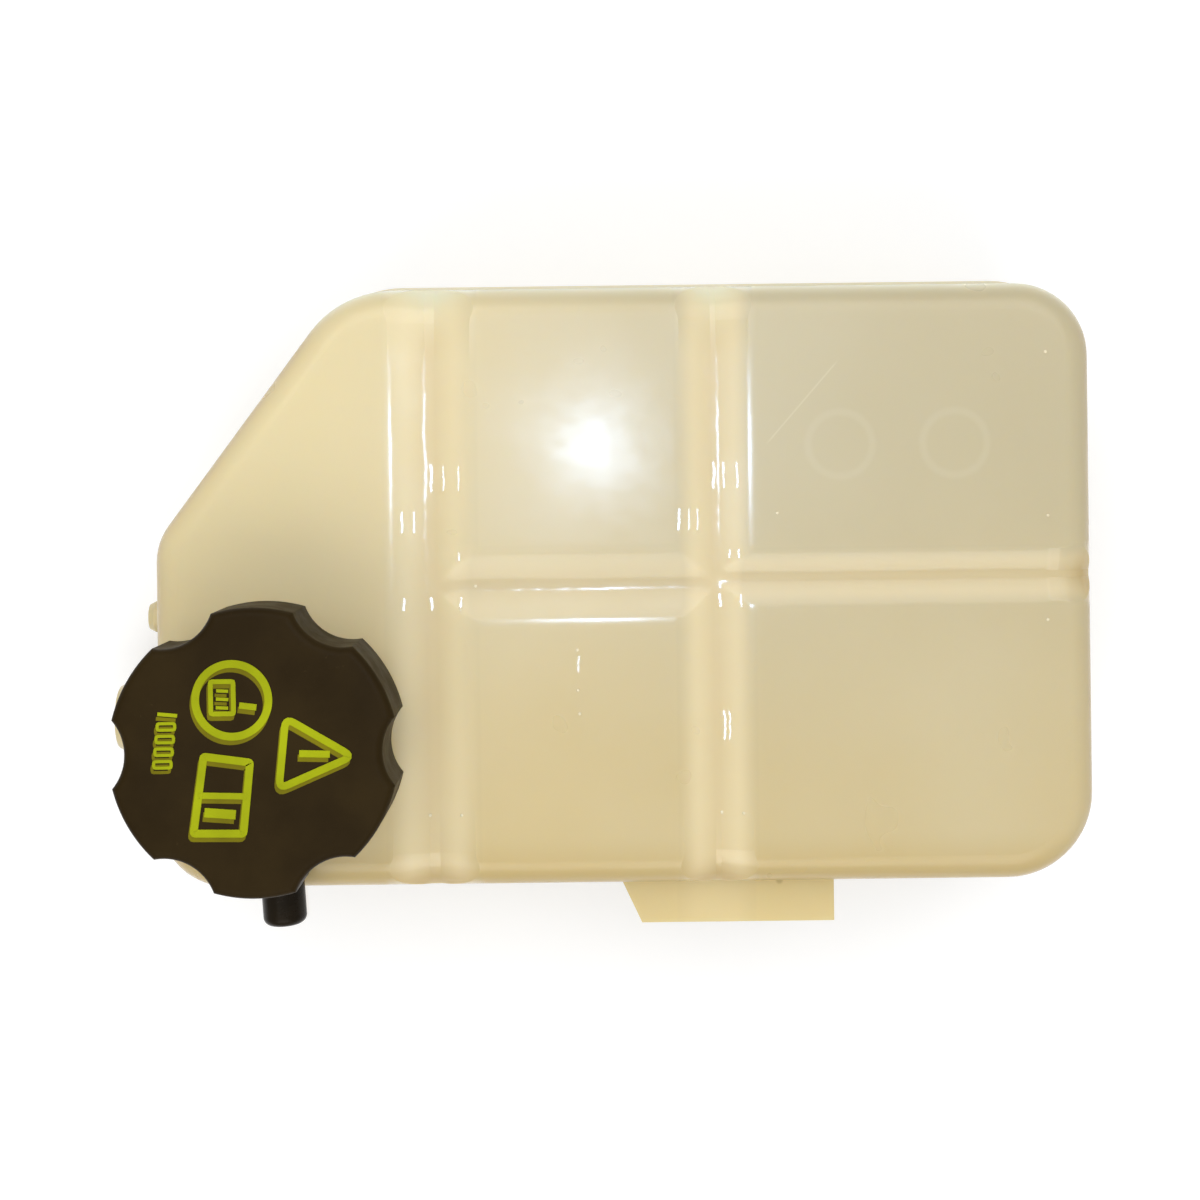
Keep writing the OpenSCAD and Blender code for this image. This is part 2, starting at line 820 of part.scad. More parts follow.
// A wire wound into a compression spring along +Z
module coil(r, wire, length, turns) {
    steps = round(turns * coil_steps);
    ring = coil_sides;
    points = [
        for (i = [0 : steps])
            for (j = [0 : ring - 1])
                let (
                    t = turns * i / steps,
                    out = r + wire * cos(360 * j / ring)
                )
                [
                    out * cos(360 * t),
                    out * sin(360 * t),
                    coil_z(t, turns, wire, length) + wire * sin(360 * j / ring)
                ]
    ];
    skin = [
        for (i = [0 : steps - 1])
            for (j = [0 : ring - 1])
                let (
                    a = i * ring + j,
                    b = i * ring + (j + 1) % ring
                )
                for (f = [[a, a + ring, b], [b, a + ring, b + ring]])
                    f
    ];
    ends = [
        [for (j = [0 : ring - 1]) j],
        [for (j = [0 : ring - 1]) steps * ring + ring - 1 - j]
    ];
    polyhedron(points, concat(skin, ends));
}

module pressure_spring() {
    color([0.7, 0.7, 0.7])
        translate([neck_x, neck_y, plate_high])
            coil(spring_r, spring_wire_r, flange_low - plate_high, spring_turns);
}

module vacuum_valve_stem() {
    color([0.72, 0.7, 0.6])
        translate([neck_x, neck_y, 0]) {
            translate([0, 0, seat_top - run_gap - 2 * seal_t])
                cylinder(r = vacuum_r - fit_gap, h = seal_t);
            translate([0, 0, seat_top - run_gap - 2 * seal_t])
                cylinder(r = stem_r, h = stem_top - seat_top + run_gap + 2 * seal_t);
        }
}

module vacuum_valve_seal() {
    color([0.11, 0.11, 0.11])
        translate([neck_x, neck_y, seat_top - run_gap - seal_t])
            difference() {
                cylinder(r = vacuum_r, h = seal_t);
                translate([0, 0, -over])
                    cylinder(r = stem_r + fit_gap, h = seal_t + 2 * over);
            }
}

module vacuum_spring() {
    color([0.72, 0.72, 0.72])
        translate([neck_x, neck_y, plate_high])
            coil(vacuum_spring_r, vacuum_wire_r, stem_rise - seal_t, vacuum_turns);
}

module vacuum_spring_cup() {
    color([0.6, 0.6, 0.58])
        translate([neck_x, neck_y, stem_top - seal_t])
            difference() {
                cylinder(r = vacuum_spring_r + 2 * vacuum_wire_r, h = seal_t);
                translate([0, 0, -over])
                    cylinder(r = stem_r + fit_gap, h = seal_t + 2 * over);
            }
}

upper_shell();
lower_shell();
bleed_spigot_cap();
cap_grip();
cap_thread_ring();
cap_clip();
cartridge_body();
cartridge_base();
neck_o_ring();
cap_gasket();
pressure_valve_plate();
pressure_valve_seal();
pressure_spring();
vacuum_valve_stem();
vacuum_valve_seal();
vacuum_spring();
vacuum_spring_cup();
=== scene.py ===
import math

import bmesh
import bpy
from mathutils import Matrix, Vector


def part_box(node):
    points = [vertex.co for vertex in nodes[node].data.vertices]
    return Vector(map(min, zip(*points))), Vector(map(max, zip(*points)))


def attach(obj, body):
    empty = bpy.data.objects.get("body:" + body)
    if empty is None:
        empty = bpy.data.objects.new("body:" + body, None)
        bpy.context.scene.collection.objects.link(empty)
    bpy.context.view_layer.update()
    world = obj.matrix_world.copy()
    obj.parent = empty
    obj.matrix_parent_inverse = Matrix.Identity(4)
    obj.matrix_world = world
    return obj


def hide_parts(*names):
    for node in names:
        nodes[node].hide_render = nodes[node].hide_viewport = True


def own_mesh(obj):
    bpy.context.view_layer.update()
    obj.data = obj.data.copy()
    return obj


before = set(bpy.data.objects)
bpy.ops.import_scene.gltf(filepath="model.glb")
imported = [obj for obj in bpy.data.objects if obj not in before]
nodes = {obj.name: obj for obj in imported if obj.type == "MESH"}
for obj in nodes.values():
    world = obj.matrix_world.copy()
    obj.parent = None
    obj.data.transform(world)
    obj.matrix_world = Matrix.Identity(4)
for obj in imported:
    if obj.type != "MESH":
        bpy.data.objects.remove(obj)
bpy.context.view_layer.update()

MM = 0.001
ring_low, ring_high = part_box("cap_thread_ring")
NECK = Vector(((ring_low.x + ring_high.x) / 2, (ring_low.y + ring_high.y) / 2, 0))
NECK_R = 24 * MM
RING_BORE_R = 26 * MM
THREAD_LEAD = 8 * MM
TOP_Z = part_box("cap_grip")[1].z
BODY_TOP = 90 * MM
SEAM_Z = 46 * MM
# Grooves: position of the centre line, half width and half width of the floor
LEFT_BAND = (-55 * MM, 11.8 * MM, 1.5 * MM)
RIGHT_BAND = (26.5 * MM, 10 * MM, 0.8 * MM)
MID_BAND = (0.5 * MM, 10 * MM, 0.8 * MM)
SIDE_BAND = (2 * MM, 7.5 * MM, 1 * MM)
GROOVE_DEPTH = 2.8 * MM
# Rows of small folds (middle, half length and places across), and the point that they face
FOLDS = (
    (31.5 * MM, 4.8 * MM, (-54.9, -51.4, -46.9, 26.3, 29.1, 32.9)),
    (19.0 * MM, 4.0 * MM, (-63.3, -59.8, 16.1, 18.9, 21.3)),
    (67.0 * MM, 1.6 * MM, (-46.8, 30.0, 33.0)),
    (9.0 * MM, 1.6 * MM, (-46.9, 30.7, 33.2)),
    (-4.5 * MM, 2.4 * MM, (-62.9, -55.2, -46.8, 27.8, 33.6)),
    (-22.0 * MM, 3.0 * MM, (-13.1,)),
    (-40.3 * MM, 5.5 * MM, (28.6, 30.0)),
    (-66.6 * MM, 2.2 * MM, (-54.0, -45.7, 27.8, 34.5)),
)
FOLD_FOCUS = Vector((-8.4 * MM, 39.4 * MM, 562 * MM))
ROUND_MARKS = ((62.4 * MM, 40 * MM), (95.2 * MM, 40 * MM))
ROUND_MARK_R = 9.2 * MM


# ---------- node helpers ----------
class Graph:
    """A material's node tree, with short calls for the maths."""

    def __init__(self, name):
        self.mat = bpy.data.materials.new(name)
        self.mat.use_nodes = True
        self.tree = self.mat.node_tree
        self.bsdf = self.tree.nodes["Principled BSDF"]
        coords = self.node("ShaderNodeTexCoord")
        self.place = coords.outputs["Object"]
        split = self.node("ShaderNodeSeparateXYZ")
        self.link(self.place, split.inputs[0])
        self.x, self.y, self.z = split.outputs

    def node(self, kind, **values):
        n = self.tree.nodes.new(kind)
        for key, value in values.items():
            setattr(n, key, value)
        return n

    def link(self, a, b):
        self.tree.links.new(a, b)

    def put(self, value, socket):
        if isinstance(value, bpy.types.NodeSocket):
            self.link(value, socket)
        else:
            socket.default_value = value

    def math(self, op, a, b=0.0, c=0.0):
        n = self.node("ShaderNodeMath", operation=op)
        for value, socket in zip((a, b, c), n.inputs):
            self.put(value, socket)
        return n.outputs[0]

    def step(self, value, low, high, out_low=0.0, out_high=1.0):
        n = self.node("ShaderNodeMapRange", interpolation_type="SMOOTHSTEP")
        self.put(value, n.inputs["Value"])
        n.inputs["From Min"].default_value = low
        n.inputs["From Max"].default_value = high
        n.inputs["To Min"].default_value = out_low
        n.inputs["To Max"].default_value = out_high
        return n.outputs["Result"]

    def noise(self, scale, detail=3.0, rough=0.55, stretch=None):
        n = self.node("ShaderNodeTexNoise")
        n.inputs["Scale"].default_value = scale
        n.inputs["Detail"].default_value = detail
        n.inputs["Roughness"].default_value = rough
        if stretch:
            m = self.node("ShaderNodeMapping")
            m.inputs["Scale"].default_value = stretch
            self.link(self.place, m.inputs["Vector"])
            self.link(m.outputs[0], n.inputs["Vector"])
        else:
            self.link(self.place, n.inputs["Vector"])
        return n.outputs["Fac"]

    def mix(self, factor, a, b):
        n = self.node("ShaderNodeMix", data_type="RGBA")
        self.put(factor, n.inputs[0])
        self.put(a, n.inputs[6])
        self.put(b, n.inputs[7])
        return n.outputs[2]

    def bump(self, height, strength, distance, normal=None):
        n = self.node("ShaderNodeBump")
        n.inputs["Strength"].default_value = strength
        n.inputs["Distance"].default_value = distance
        self.link(height, n.inputs["Height"])
        if normal is not None:
            self.link(normal, n.inputs["Normal"])
        return n.outputs[0]

    def bevel(self, radius, samples=2):
        n = self.node("ShaderNodeBevel", samples=samples)
        n.inputs["Radius"].default_value = radius
        return n.outputs[0]

    def product(self, *values):
        out = values[0]
        for value in values[1:]:
            out = self.math("MULTIPLY", out, value)
        return out

    def vector(self, x, y, z):
        n = self.node("ShaderNodeCombineXYZ")
        for value, socket in zip((x, y, z), n.inputs):
            self.put(value, socket)
        return n.outputs[0]

    def blend(self, factor, a, b):
        """A direction between two others."""
        n = self.node("ShaderNodeMix", data_type="VECTOR")
        self.put(factor, n.inputs[0])
        self.put(a, n.inputs[4])
        self.put(b, n.inputs[5])
        unit = self.node("ShaderNodeVectorMath", operation="NORMALIZE")
        self.link(n.outputs[1], unit.inputs[0])
        return unit.outputs[0]

    def set(self, **sockets):
        for name, value in sockets.items():
            self.put(value, self.bsdf.inputs[name.replace("_", " ")])


def srgb(r, g, b):
    """A colour read in 0 to 255, as linear values."""
    out = []
    for v in (r, g, b):
        v /= 255
        out.append(v / 12.92 if v <= 0.04045 else ((v + 0.055) / 1.055) ** 2.4)
    return (*out, 1.0)


# ---------- materials ----------
def groove_normal(g, blur, strength, cross, wobble, soft):
    """Surface direction of the top face, with the grooves' edges rounded over a blur and their crossings made soft."""
    def flank(axis, band):
        at, half, floor = band
        offset = g.math("SUBTRACT", axis, at)
        away = g.math("ABSOLUTE", offset)
        rise = g.math("SUBTRACT", g.step(away, 0.0, floor + blur), g.step(away, half - blur, half + blur))
        slope = g.product(rise, g.math("SIGN", offset), -strength * GROOVE_DEPTH / (half - floor))
        depth = g.math("DIVIDE", g.math("SUBTRACT", half, away), half - floor)
        return slope, g.math("MAXIMUM", depth, 0.0)

    (left, left_in), (right, right_in) = flank(g.x, LEFT_BAND), flank(g.x, RIGHT_BAND)
    (mid, mid_in), (side, side_in) = flank(g.y, MID_BAND), flank(g.y, SIDE_BAND)
    on_right = g.step(g.x, RIGHT_BAND[0] - 0.1 * MM, RIGHT_BAND[0] + 0.1 * MM)
    on_left = g.step(g.x, LEFT_BAND[0] + 0.1 * MM, LEFT_BAND[0] - 0.1 * MM)
    in_mid = g.product(g.math("SUBTRACT", 1.0, on_right), g.math("SUBTRACT", 1.0, on_left))
    along = g.math("MAXIMUM", left_in, right_in)
    across = g.math("ADD", g.product(mid_in, in_mid), g.product(side_in, on_right))
    take = g.step(g.math("SUBTRACT", along, across), -soft, soft)
    nx = g.product(g.math("ADD", left, right), take)
    ny = g.math("ADD", g.product(mid, in_mid), g.product(side, on_right))
    ny = g.product(ny, g.math("SUBTRACT", 1.0, take), cross)
    band = g.step(g.math("MAXIMUM", along, across), -0.1, 0.3)
    for i, place in enumerate(((1.0, 1.0, 1.0), (0.7, 1.3, 1.0))):
        shake = g.product(g.math("SUBTRACT", g.noise(190.0, 1.0, 0.5, place), 0.5), g.math("MAXIMUM", band, 0.12), wobble)
        if i:
            ny = g.math("ADD", ny, shake)
        else:
            nx = g.math("ADD", nx, shake)
    return g.vector(nx, ny, 1.0)


def fold_glints(g):
    """Where small folds in the skin over the grooves show as short bright dashes."""
    x = g.math("ADD", g.x, g.product(g.math("SUBTRACT", g.noise(230.0, 1.0), 0.5), 1.1 * MM))
    found = 0.0
    for middle, half, places in FOLDS:
        near = 1.0
        for at in places:
            near = g.math("MINIMUM", g.math("ABSOLUTE", g.math("SUBTRACT", x, at * MM)), near)
        row = g.step(g.math("ABSOLUTE", g.math("SUBTRACT", g.y, middle)), half, half * 0.7)
        found = g.math("MAXIMUM", g.product(g.step(near, 0.7 * MM, 0.15 * MM), row), found)
    return found


def shell_material():
    g = Graph("tank_plastic")
    # Flat panels: greyer to the right, warmer to the left and towards the front
    warm = g.step(g.x, 60 * MM, -110 * MM)
    front = g.step(g.y, 50 * MM, -95 * MM)
    cloud = g.noise(9.0, 2.0)
    panel = g.mix(warm, srgb(205, 192, 156), srgb(244, 222, 172))
    panel = g.mix(g.math("MULTIPLY", front, 0.8), panel, srgb(219, 195, 138))
    panel = g.mix(g.step(cloud, 0.3, 0.75, 0.0, 0.35), panel, srgb(222, 211, 180))
    panel = g.mix(g.step(g.y, -70 * MM, -84 * MM, 0.0, 0.7), panel, srgb(204, 178, 116))
    # Painted light: the grooves, and the baffles under them, are painted lighter for the light that the baffles
    # scatter back through the plastic
    band_painted_light = shiny = 0.0
    right_of_left = g.step(g.x, LEFT_BAND[0] - 2 * MM, LEFT_BAND[0] + 2 * MM)
    for axis, (at, half, _), limit, light in (
        (g.x, LEFT_BAND, None, 0.85),
        (g.x, RIGHT_BAND, None, 0.75),
        (g.y, MID_BAND, (LEFT_BAND[0], RIGHT_BAND[0]), 0.2),
        (g.y, SIDE_BAND, (RIGHT_BAND[0], 200 * MM), 0.45),
    ):
        away = g.math("ABSOLUTE", g.math("SUBTRACT", axis, at))
        band = g.step(away, half * 1.15, half * 0.5, 0.0, light)
        edge = g.step(away, half * 1.22, half * 1.1)
        if limit:
            inside = g.math("MULTIPLY", g.step(g.x, limit[0] - 3 * MM, limit[0] + 3 * MM), g.step(g.x, limit[1] + 3 * MM, limit[1] - 3 * MM))
            band, edge = g.product(band, inside), g.product(edge, inside)
        band_painted_light, shiny = g.math("MAXIMUM", band, band_painted_light), g.math("MAXIMUM", edge, shiny)
    colour = g.mix(band_painted_light, panel, srgb(250, 227, 180))
    # The rim and the walls look through more plastic, so they are deeper in colour; the rear rim is painted lighter
    # than the front as painted light
    wall = g.step(g.z, BODY_TOP - 0.5 * MM, BODY_TOP - 7 * MM)
    rim_colour_and_painted_light = g.mix(g.step(g.y, 68 * MM, 84 * MM), srgb(196, 166, 98), srgb(255, 248, 212))
    rim_colour_and_painted_light = g.mix(g.step(g.z, 84 * MM, 74 * MM), rim_colour_and_painted_light, srgb(224, 206, 158))
    # Painted light: the tongue is painted lighter, over the shade that the body casts on it
    tongue_painted_light = g.product(g.step(g.y, -85.5 * MM, -86.5 * MM), g.step(g.z, 60 * MM, 66 * MM))
    rim_colour_and_painted_light = g.mix(tongue_painted_light, rim_colour_and_painted_light, srgb(232, 209, 152))
    # Painted light: the rear flange under the rim is painted lighter, over the shade it sits in
    flange_painted_light = g.product(g.step(g.y, 86.5 * MM, 87.5 * MM), g.step(g.z, 56 * MM, 52 * MM), 0.7)
    rim_colour_and_painted_light = g.mix(flange_painted_light, rim_colour_and_painted_light, srgb(255, 248, 222))
    colour = g.mix(g.math("MULTIPLY", wall, 0.85), colour, rim_colour_and_painted_light)
    # A fine scratch across the right rear panel
    dx, dy = g.math("SUBTRACT", g.x, 51.7 * MM), g.math("SUBTRACT", g.y, 52.1 * MM)
    along = g.math("ADD", g.product(dx, 0.658), g.product(dy, 0.753))
    across = g.math("SUBTRACT", g.product(dx, 0.753), g.product(dy, 0.658))
    line = g.math("MULTIPLY", g.step(g.math("ABSOLUTE", across), 0.35 * MM, 0.1 * MM), g.step(g.math("ABSOLUTE", along), 16.5 * MM, 13 * MM))
    line = g.math("MULTIPLY", line, g.step(g.z, BODY_TOP - 2 * MM, BODY_TOP - 1 * MM))
    colour = g.mix(g.math("MULTIPLY", line, 0.2), colour, srgb(246, 238, 214))
    # Two faint round moulding marks on the right rear panel
    rings = None
    for cx, cy in ROUND_MARKS:
        dx, dy = g.math("SUBTRACT", g.x, cx), g.math("SUBTRACT", g.y, cy)
        r = g.math("SQRT", g.math("ADD", g.math("MULTIPLY", dx, dx), g.math("MULTIPLY", dy, dy)))
        ring = g.step(g.math("ABSOLUTE", g.math("SUBTRACT", r, ROUND_MARK_R)), 1.8 * MM, 0.2 * MM)
        rings = ring if rings is None else g.math("MAXIMUM", rings, ring)
    rings = g.product(rings, g.step(g.z, BODY_TOP - 1 * MM, BODY_TOP - 0.5 * MM))
    colour = g.mix(g.product(rings, 0.15), colour, srgb(230, 222, 196))
    # A small dark spot on the tongue
    spot = g.math("SQRT", g.math("ADD", g.math("POWER", g.math("SUBTRACT", g.x, 45 * MM), 2.0), g.math("POWER", g.math("ADD", g.y, 88 * MM), 2.0)))
    spot = g.math("MULTIPLY", g.step(spot, 1.5 * MM, 0.5 * MM), g.step(g.z, 70 * MM, 72 * MM))
    colour = g.mix(g.math("MULTIPLY", spot, 0.5), colour, srgb(160, 140, 80))
    dirt = g.step(g.noise(85.0, 3.0, 0.7), 0.68, 0.9, 0.0, 0.08)
    colour = g.mix(dirt, colour, srgb(190, 168, 118))
    g.set(Base_Color=colour)
    g.set(Roughness=g.step(g.noise(40.0, 2.0, 0.6), 0.2, 0.8, 0.26, 0.42))
    # The panels and grooves of the top face have soft edges, which show as thin glints
    on_top = g.product(
        g.step(g.x, -71 * MM, -69 * MM), g.step(g.x, 123 * MM, 121 * MM),
        g.step(g.math("ABSOLUTE", g.y), 76 * MM, 62 * MM), g.step(g.z, 86.6 * MM, 86.9 * MM),
    )
    moulded = g.node("ShaderNodeNewGeometry").outputs["Normal"]
    grain = g.noise(900.0, 1.0, 0.5)
    body_normal = g.blend(on_top, moulded, groove_normal(g, 4.5 * MM, 0.32, 0.4, 0.0, 0.95))
    gloss_normal = g.blend(on_top, moulded, groove_normal(g, 2.8 * MM, 1.0, 1.0, 0.1, 0.4))
    to_focus = [g.math("DIVIDE", g.math("SUBTRACT", FOLD_FOCUS[i], axis), FOLD_FOCUS.z) for i, axis in enumerate((g.x, g.y))]
    gloss_normal = g.blend(g.product(fold_glints(g), on_top, 0.93), gloss_normal, g.vector(*to_focus, 1.0))
    g.set(Normal=g.bump(grain, 0.12, 0.05 * MM, body_normal), Coat_Normal=gloss_normal)
    b = g.bsdf
    b.inputs["Subsurface Weight"].default_value = 0.34
    b.inputs["Subsurface Radius"].default_value = (1.0, 0.75, 0.4)
    b.inputs["Subsurface Scale"].default_value = 8 * MM
    b.inputs["Transmission Weight"].default_value = 0.12
    b.inputs["IOR"].default_value = 1.49
    b.inputs["Specular IOR Level"].default_value = 0.25
    g.set(Coat_Weight=g.step(shiny, 0.0, 1.0, 0.42, 1.0))
    b.inputs["Coat Roughness"].default_value = 0.17
    b.inputs["Coat IOR"].default_value = 1.45
    return g.mat


def plain_material(name, light, dark, rough_low, rough_high, metallic=0.0, grain=600.0, bump=0.2, depth=0.05, edge=0.4, stretch=None, wear=None, shine=0.5):
    """Moulded plastic, rubber or metal with colour variation, roughness variation and a fine surface."""
    g = Graph(name)
    cloud = g.step(g.noise(45.0, 4.0), 0.3, 0.7)
    colour = g.mix(cloud, dark, light)
    if wear:
        specks = g.step(g.noise(420.0, 6.0, 0.75), 0.64, 0.74, 0.0, 0.5)
        colour = g.mix(specks, colour, wear)
    g.set(Base_Color=colour, Roughness=g.step(g.noise(90.0, 5.0, 0.65), 0.25, 0.75, rough_low, rough_high))
    normal = g.bevel(edge * MM)
    g.set(Normal=g.bump(g.noise(grain, 3.0, 0.6, stretch), bump, depth * MM, normal))
    g.bsdf.inputs["Metallic"].default_value = metallic
    g.bsdf.inputs["Specular IOR Level"].default_value = shine
    return g.mat


mats = {
    "shell": shell_material(),
    "cap": plain_material("cap_plastic", srgb(48, 36, 13), srgb(40, 29, 9), 0.38, 0.55, grain=1500.0, bump=0.35, depth=0.08, edge=0.7, wear=srgb(70, 56, 32), shine=0.06),
    "ring": plain_material("cap_ring_plastic", srgb(50, 42, 30), srgb(38, 31, 21), 0.4, 0.55, grain=900.0),
    "cartridge": plain_material("cartridge_plastic", srgb(48, 47, 45), srgb(34, 33, 32), 0.35, 0.5, grain=900.0),
    "rubber": plain_material("black_rubber", srgb(38, 29, 14), srgb(24, 18, 8), 0.18, 0.34, grain=700.0, edge=0.5, wear=srgb(60, 50, 32), shine=0.12),
    "seal": plain_material("seal_rubber", srgb(36, 36, 36), srgb(22, 22, 22), 0.5, 0.65, grain=1200.0),
    "steel": plain_material("stainless_steel", srgb(198, 198, 194), srgb(168, 168, 165), 0.2, 0.36, 1.0, 300.0, 0.15, 0.03, 0.15, (1, 1, 12)),
    "wire": plain_material("spring_wire", srgb(190, 190, 190), srgb(158, 158, 160), 0.22, 0.34, 1.0, 900.0, 0.15, 0.02, 0.1),
    "brass": plain_material("valve_brass", srgb(205, 178, 112), srgb(176, 146, 84), 0.22, 0.38, 1.0, 500.0, 0.15, 0.02, 0.15),
    "pip": plain_material("pip_plastic", srgb(236, 224, 192), srgb(226, 212, 176), 0.12, 0.2, grain=900.0, bump=0.1, depth=0.02, edge=0.1),
    "mark": plain_material("mark_bright", srgb(166, 174, 13), srgb(146, 152, 8), 0.45, 0.6, grain=1400.0, edge=0.2, shine=0.08),
    "mark_painted_shade": plain_material("mark_shade", srgb(126, 118, 14), srgb(104, 96, 10), 0.5, 0.65, grain=1400.0, edge=0.2, shine=0.08),
}
finishes = {
    "upper_shell": "shell", "lower_shell": "shell", "bleed_spigot_cap": "rubber",
    "cap_grip": "cap", "cap_thread_ring": "ring", "cap_clip": "steel",
    "cartridge_body": "cartridge", "cartridge_base": "cartridge",
    "neck_o_ring": "seal", "cap_gasket": "seal",
    "pressure_valve_plate": "steel", "pressure_valve_seal": "seal", "pressure_spring": "wire",
    "vacuum_valve_stem": "brass", "vacuum_valve_seal": "seal",
    "vacuum_spring": "wire", "vacuum_spring_cup": "brass",
}
for name, key in finishes.items():
    mesh = nodes[name].data
    mesh.materials.clear()
    mesh.materials.append(mats[key])


# ---------- mesh helpers ----------
def make(name, verts, faces, material, body, slot, smooth=True):
    mesh = bpy.data.meshes.new(name)
    mesh.from_pydata([tuple(v) for v in verts], [], faces)
    mesh.validate()
    bm = bmesh.new()
    bm.from_mesh(mesh)
    bmesh.ops.recalc_face_normals(bm, faces=bm.faces)
    bm.to_mesh(mesh)
    bm.free()
    mesh.materials.append(material)
    if smooth:
        mesh.shade_smooth()
        mesh.set_sharp_from_angle(angle=math.radians(35))
    obj = bpy.data.objects.new(name, mesh)
    bpy.context.scene.collection.objects.link(obj)
    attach(obj, body)
    return obj


def ribbon(path, width, z0, z1, closed):
    """A flat raised stroke of that width along a plan path, with square ends when it is open."""
    count = len(path)
    left, right = [], []
    for i, p in enumerate(path):
        a = path[(i - 1) % count] if closed or i else p
        b = path[(i + 1) % count] if closed or i < count - 1 else p
        d_in = Vector((p[0] - a[0], p[1] - a[1]))
        d_out = Vector((b[0] - p[0], b[1] - p[1]))
        d_in = d_in.normalized() if d_in.length else d_out.normalized()
        d_out = d_out.normalized() if d_out.length else d_in
        n = Vector((-d_in.y - d_out.y, d_in.x + d_out.x)).normalized()
        reach = width / 2 / max(0.35, n.dot(Vector((-d_in.y, d_in.x))))
        left.append((p[0] + n.x * reach, p[1] + n.y * reach))
        right.append((p[0] - n.x * reach, p[1] - n.y * reach))
    verts, faces = [], []
    for (lx, ly), (rx, ry) in zip(left, right):
        verts += [(lx, ly, z0), (lx, ly, z1), (rx, ry, z1), (rx, ry, z0)]
    spans = count if closed else count - 1
    for i in range(spans):
        a, b = 4 * i, 4 * ((i + 1) % count)
        for k in range(4):
            faces.append((a + k, a + (k + 1) % 4, b + (k + 1) % 4, b + k))
    if not closed:
        faces.append((0, 3, 2, 1))
        e = 4 * (count - 1)
        faces.append((e, e + 1, e + 2, e + 3))
    return verts, faces


def rounded(points, radius, steps=5):
    """A closed path with its corners rounded."""
    out = []
    count = len(points)
    for i, p in enumerate(points):
        p = Vector(p)
        a = (Vector(points[i - 1]) - p).normalized()
        b = (Vector(points[(i + 1) % count]) - p).normalized()
        for k in range(steps + 1):
            t = k / steps
            start, end = p + a * radius, p + b * radius
            out.append(tuple(start * (1 - t) ** 2 + p * 2 * t * (1 - t) + end * t * t))
    return out


def join(parts):
    verts, faces = [], []
    for v, f in parts:
        base = len(verts)
        verts += v
        faces += [tuple(i + base for i in face) for face in f]
    return verts, faces


# ---------- cap markings: plain shapes, raised from the dished top of the cap ----------
DISH_R = 31.6
DISH_FLOOR_R = 12
DISH_DEPTH = 0.8
SHADE_SHIFT = (-0.45, -1.2)


def dish_z(x, y):
    """Height of the cap's top at a place given in millimetres from its axis."""
    t = (DISH_R - math.hypot(x, y)) / (DISH_R - DISH_FLOOR_R)
    return TOP_Z - DISH_DEPTH * MM * max(0.0, min(1.0, t))


def ring_path(cx, cy, r, steps=72):
    return [(cx + r * math.cos(2 * math.pi * k / steps), cy + r * math.sin(2 * math.pi * k / steps)) for k in range(steps)]


def finer(path, closed, pitch=1.2):
    """The same path with its long spans cut up, so that a stroke follows the dish."""
    out = []
    pairs = list(zip(path, path[1:] + path[:1])) if closed else list(zip(path, path[1:]))
    for (ax, ay), (bx, by) in pairs:
        n = max(1, math.ceil(math.hypot(bx - ax, by - ay) / pitch))
        out += [(ax + (bx - ax) * k / n, ay + (by - ay) * k / n) for k in range(n)]
    return out if closed else out + [path[-1]]


def box_path(x, y, w, h, lean=0.0):
    return [(x - w / 2, y - h / 2 - lean), (x + w / 2, y - h / 2), (x + w / 2, y + h / 2), (x - w / 2, y + h / 2 + lean)]


marks = [
    (ring_path(-5.3, 14.3, 9.7), 2.1, True),
    (rounded([(8.9, 9.4), (26.6, -0.9), (6.9, -9.4)], 2.6), 2.0, True),
    (rounded([(-13.0, -0.6), (-0.7, -2.3), (-2.6, -21.1), (-15.8, -20.9)], 0.6, 3), 2.1, True),
    ([(-14.4, -10.9), (-1.6, -11.3)], 1.7, False),
    ([(-12.9, -15.4), (-4.6, -16.1)], 2.5, False),
    ([(12.4, -0.1), (20.6, -0.3)], 1.9, False),
    (rounded(box_path(-7.9, 15.0, 6.0, 8.6), 0.5, 2), 1.3, True),
    ([(-9.4, 16.9), (-6.2, 16.7)], 0.9, False),
    ([(-9.5, 14.7), (-6.2, 14.5)], 0.9, False),
    ([(-9.6, 12.4), (-6.3, 12.2)], 0.9, False),
    ([(-3.4, 12.9), (1.2, 12.3)], 1.7, False),
]
marks.append(([(-25.0, 10.9), (-19.8, 10.4)], 1.0, False))
for k in range(4):
    marks.append((rounded(box_path(-22.8 - 0.35 * k, 7.5 - 3.35 * k, 4.6, 1.7), 0.5, 2), 0.85, True))


def strokes(dx, dy, low, high):
    parts = []
    for path, width, closed in marks:
        verts, faces = ribbon(finer([(x + dx, y + dy) for x, y in path], closed), width, low, high, closed)
        parts.append(([(NECK.x + x * MM, NECK.y + y * MM, dish_z(x, y) + z * MM) for x, y, z in verts], faces))
    return join(parts)


# Painted shade: a darker copy of the marks, shifted to the lower left, stands for the shaded flanks of the raised
# marks
make("cap_marks_shade", *strokes(*SHADE_SHIFT, -0.3, 0.03), mats["mark_painted_shade"], "cap", "cap_plastic")
make("cap_marks", *strokes(0, 0, -0.3, 0.16), mats["mark"], "cap", "cap_plastic")


